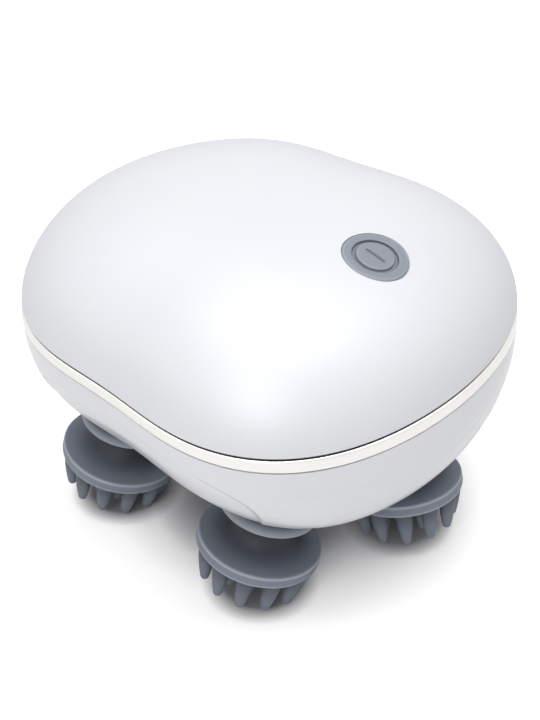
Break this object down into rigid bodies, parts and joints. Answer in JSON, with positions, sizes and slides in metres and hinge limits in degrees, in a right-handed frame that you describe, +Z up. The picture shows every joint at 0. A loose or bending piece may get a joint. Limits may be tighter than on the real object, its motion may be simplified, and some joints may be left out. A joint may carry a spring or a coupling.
{
  "type": "electric scalp massager",
  "caption": "Two-lobed domed hand-held massager with a power button, standing on geared, leaning kneading heads with soft fingers.",
  "frame": {"origin": "on the floor under the middle of the body's box; the lowest fingers of all heads touch z = 0", "axes": "+Z up, +X along the long axis towards the lobe with the button, +Y across the body"},
  "size_m": [0.1221, 0.108, 0.094],
  "materials": {
    "cover_pearl": "satin pearl white",
    "housing_pearl": "glossy pearl white",
    "band_plating": "bright plating",
    "seal_rubber": "matte",
    "base_plastic": "fine spark texture",
    "screw_steel": "plated",
    "bush_brass": "turned",
    "plate_plastic": "moulded",
    "pin_steel": "ground",
    "gear_plastic": "moulded",
    "motor_steel": "drawn can",
    "battery_wrap": "wrapped can",
    "board_laminate": "solder mask",
    "switch_plastic": "moulded",
    "button_silicone": "matte silicone",
    "socket_steel": "drawn shell",
    "head_silicone": "matte silicone",
    "core_plastic": "moulded"
  },
  "bodies": {
    "housing": {"top_cover": "cover_pearl", "cover_gasket": "seal_rubber", "trim_band": "band_plating", "lower_housing": "housing_pearl", "base_cover": "base_plastic", "base_screws": "screw_steel", "shaft_seals": "seal_rubber", "shaft_bushes": "bush_brass", "gear_plate": "plate_plastic", "centre_axle": "pin_steel", "motor_gearhead": "motor_steel", "motor_can": "motor_steel", "motor_screws": "screw_steel", "battery_cradle": "plate_plastic", "battery_cell": "battery_wrap", "circuit_board": "board_laminate", "board_screws": "screw_steel", "switch_body": "switch_plastic", "button_ring": "button_silicone", "charge_board": "board_laminate", "charge_socket": "socket_steel"},
    "front_head": {"head_front": "head_silicone", "finger_pad_front": "head_silicone", "head_core_front": "core_plastic", "crank_pin_front": "pin_steel", "head_gear_front": "gear_plastic"},
    "left_head": {"head_left": "head_silicone", "finger_pad_left": "head_silicone", "head_core_left": "core_plastic", "crank_pin_left": "pin_steel", "head_gear_left": "gear_plastic"},
    "right_head": {"head_right": "head_silicone", "finger_pad_right": "head_silicone", "head_core_right": "core_plastic", "crank_pin_right": "pin_steel", "head_gear_right": "gear_plastic"},
    "rear_head": {"head_rear": "head_silicone", "finger_pad_rear": "head_silicone", "head_core_rear": "core_plastic", "crank_pin_rear": "pin_steel", "head_gear_rear": "gear_plastic"},
    "centre_wheel": {"centre_gear": "gear_plastic"},
    "pinion": {"drive_pinion": "bush_brass"},
    "button": {"button_cap": "button_silicone", "switch_plunger": "gear_plastic"},
    "plug": {"charge_plug": "button_silicone"}
  },
  "joints": [
    {"name": "front_head_spin", "type": "hinge", "parent": "housing", "child": "front_head", "pos_m": [0.02642, -0.018, 0.0465], "axis": [0, 0, 1], "continuous": true},
    {"name": "left_head_spin", "type": "hinge", "parent": "housing", "child": "left_head", "pos_m": [-0.02282, -0.018, 0.0465], "axis": [0, 0, 1], "continuous": true},
    {"name": "right_head_spin", "type": "hinge", "parent": "housing", "child": "right_head", "pos_m": [0.02642, 0.018, 0.0465], "axis": [0, 0, 1], "continuous": true},
    {"name": "rear_head_spin", "type": "hinge", "parent": "housing", "child": "rear_head", "pos_m": [-0.02282, 0.018, 0.0465], "axis": [0, 0, 1], "continuous": true},
    {"name": "centre_wheel_spin", "type": "hinge", "parent": "housing", "child": "centre_wheel", "pos_m": [0.0018, 0, 0.05], "axis": [0, 0, 1], "continuous": true},
    {"name": "pinion_spin", "type": "hinge", "parent": "housing", "child": "pinion", "pos_m": [-0.0242, 0, 0.055], "axis": [0, 0, 1], "continuous": true},
    {"name": "button_press", "type": "slide", "parent": "housing", "child": "button", "axis": [-0.2424, 0, -0.9702], "range_m": [0, 0.0008], "stiffness_N_per_m": 1500},
    {"name": "plug_pull", "type": "slide", "parent": "housing", "child": "plug", "axis": [-1, 0, 0], "range_m": [0, 0.008]}
  ],
  "couplings": [
    {"joint": "left_head_spin", "follows": "front_head_spin", "ratio": 1},
    {"joint": "right_head_spin", "follows": "front_head_spin", "ratio": -1},
    {"joint": "rear_head_spin", "follows": "front_head_spin", "ratio": -1},
    {"joint": "centre_wheel_spin", "follows": "front_head_spin", "ratio": -1.2593},
    {"joint": "pinion_spin", "follows": "front_head_spin", "ratio": 4.1975}
  ]
}
